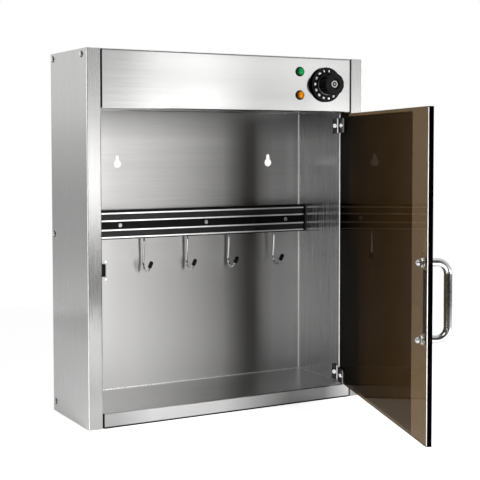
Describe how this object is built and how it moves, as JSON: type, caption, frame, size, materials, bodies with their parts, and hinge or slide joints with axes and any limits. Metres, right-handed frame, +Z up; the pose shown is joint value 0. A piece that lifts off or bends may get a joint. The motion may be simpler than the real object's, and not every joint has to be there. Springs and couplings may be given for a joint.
{
  "type": "knife sterilizer cabinet",
  "caption": "Wall-hung stainless cabinet with a tinted hinged door, a magnetic knife bar with sliding hooks, a germicidal tube, a timer knob and pilot lamps.",
  "frame": {"origin": "middle of the base, halfway between the sides and between the front and the back of the case", "axes": "+X to the right as seen from the front, +Y into the case towards the wall, +Z up"},
  "size_m": [0.5216, 0.5887, 0.6],
  "materials": {
    "stainless": "brushed",
    "bright_steel": "satin",
    "chrome": "polished",
    "tinted_panel": "clear and glossy",
    "tint_film": "clear and glossy",
    "black_plastic": "satin",
    "ferrite": "ribbed and matt",
    "black_rubber": "matt",
    "knob_plastic": "satin",
    "knob_metal": "turned",
    "green_lens": "clear and faceted",
    "amber_lens": "clear and faceted",
    "tube_glass": "clear",
    "tube_metal": "satin",
    "reflector": "polished",
    "white_plastic": "satin",
    "ballast_paint": "satin",
    "timer_plastic": "matt",
    "switch_red": "glossy"
  },
  "bodies": {
    "cabinet": {"left_side_panel": "stainless", "right_side_panel": "stainless", "left_inner_wall": "stainless", "right_inner_wall": "stainless", "top_panel": "stainless", "bottom_panel": "stainless", "back_panel": "stainless", "header_panel": "stainless", "ceiling_panel": "stainless", "floor_pan": "stainless", "case_screws": "bright_steel", "bar_housing": "black_plastic", "bar_strips": "bright_steel", "bar_magnets": "ferrite", "bar_spacers": "black_plastic", "bar_screws": "bright_steel", "catch_body": "black_plastic", "catch_poles": "bright_steel", "catch_screws": "bright_steel", "door_switch": "black_plastic", "hinge_wall_leaves": "chrome", "hinge_wall_screws": "chrome", "timer_body": "timer_plastic", "timer_nut": "bright_steel", "pilot_bodies": "black_plastic", "pilot_bezels": "black_plastic", "green_lens": "green_lens", "amber_lens": "amber_lens", "uv_tube": "tube_glass", "uv_tube_caps": "tube_metal", "tube_holders": "white_plastic", "lamp_reflector": "reflector", "ballast": "ballast_paint", "starter_socket": "white_plastic", "starter": "white_plastic", "terminal_block": "white_plastic", "cable_gland": "black_plastic"},
    "door": {"door_panel": "tinted_panel", "door_film": "tint_film", "strike_strip": "bright_steel", "handle": "chrome", "handle_washers": "chrome", "dome_nuts": "chrome", "hinge_clamps": "chrome", "clamp_pads": "black_rubber", "clamp_screws": "chrome", "hinge_pins": "chrome"},
    "timer_control": {"timer_shaft": "bright_steel", "timer_knob": "knob_plastic", "knob_insert": "knob_metal"},
    "switch_button": {"switch_plunger": "switch_red"},
    "hook_1": {"hook_1_wire": "chrome", "hook_1_tip": "black_rubber"},
    "hook_2": {"hook_2_wire": "chrome", "hook_2_tip": "black_rubber"},
    "hook_3": {"hook_3_wire": "chrome", "hook_3_tip": "black_rubber"},
    "hook_4": {"hook_4_wire": "chrome", "hook_4_tip": "black_rubber"}
  },
  "joints": [
    {"name": "door_hinge", "type": "hinge", "parent": "cabinet", "child": "door", "pos_m": [0.2293, -0.0675, 0.265], "axis": [0, 0, 1], "range_deg": [-72, 23]},
    {"name": "timer_turn", "type": "hinge", "parent": "cabinet", "child": "timer_control", "pos_m": [0.181, -0.0825, 0.5532], "axis": [0, 1, 0], "range_deg": [0, 300]},
    {"name": "switch_press", "type": "slide", "parent": "cabinet", "child": "switch_button", "axis": [0, 1, 0], "range_m": [0, 0.0006], "stiffness_N_per_m": 100},
    {"name": "hook_1_slide", "type": "slide", "parent": "cabinet", "child": "hook_1", "axis": [1, 0, 0], "range_m": [-0.03, 0.03]},
    {"name": "hook_2_slide", "type": "slide", "parent": "cabinet", "child": "hook_2", "axis": [1, 0, 0], "range_m": [-0.03, 0.03]},
    {"name": "hook_3_slide", "type": "slide", "parent": "cabinet", "child": "hook_3", "axis": [1, 0, 0], "range_m": [-0.03, 0.03]},
    {"name": "hook_4_slide", "type": "slide", "parent": "cabinet", "child": "hook_4", "axis": [1, 0, 0], "range_m": [-0.03, 0.03]}
  ]
}
